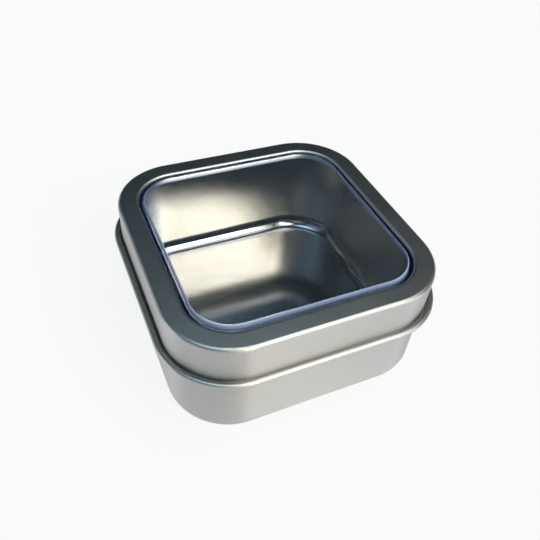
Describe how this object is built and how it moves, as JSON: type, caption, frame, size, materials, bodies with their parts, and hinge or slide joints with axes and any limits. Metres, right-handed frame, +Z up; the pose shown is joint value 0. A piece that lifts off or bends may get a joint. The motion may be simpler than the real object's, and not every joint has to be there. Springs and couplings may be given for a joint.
{
  "type": "window lid tin",
  "caption": "Square tinplate box with round corners and a slip-on lid: a clear raised window in a flat metal frame, and a rolled edge at the foot of the lid's skirt.",
  "frame": {"origin": "middle of the pan's underside, on the surface that the tin stands on", "axes": "+Z up through the lid, the way the lid lifts off; +X and +Y square to the straight sides"},
  "size_m": [0.0846, 0.0846, 0.0375],
  "materials": {
    "pan_tinplate": "satin",
    "lid_tinplate": "satin",
    "clear_plastic": "clear gloss"
  },
  "bodies": {
    "base": {"base_pan": "pan_tinplate"},
    "lid": {"lid_frame": "lid_tinplate", "lid_window": "clear_plastic"}
  },
  "joints": [
    {"name": "lid_lift", "type": "slide", "parent": "base", "child": "lid", "axis": [0, 0, 1], "range_m": [0, 0.06]}
  ]
}
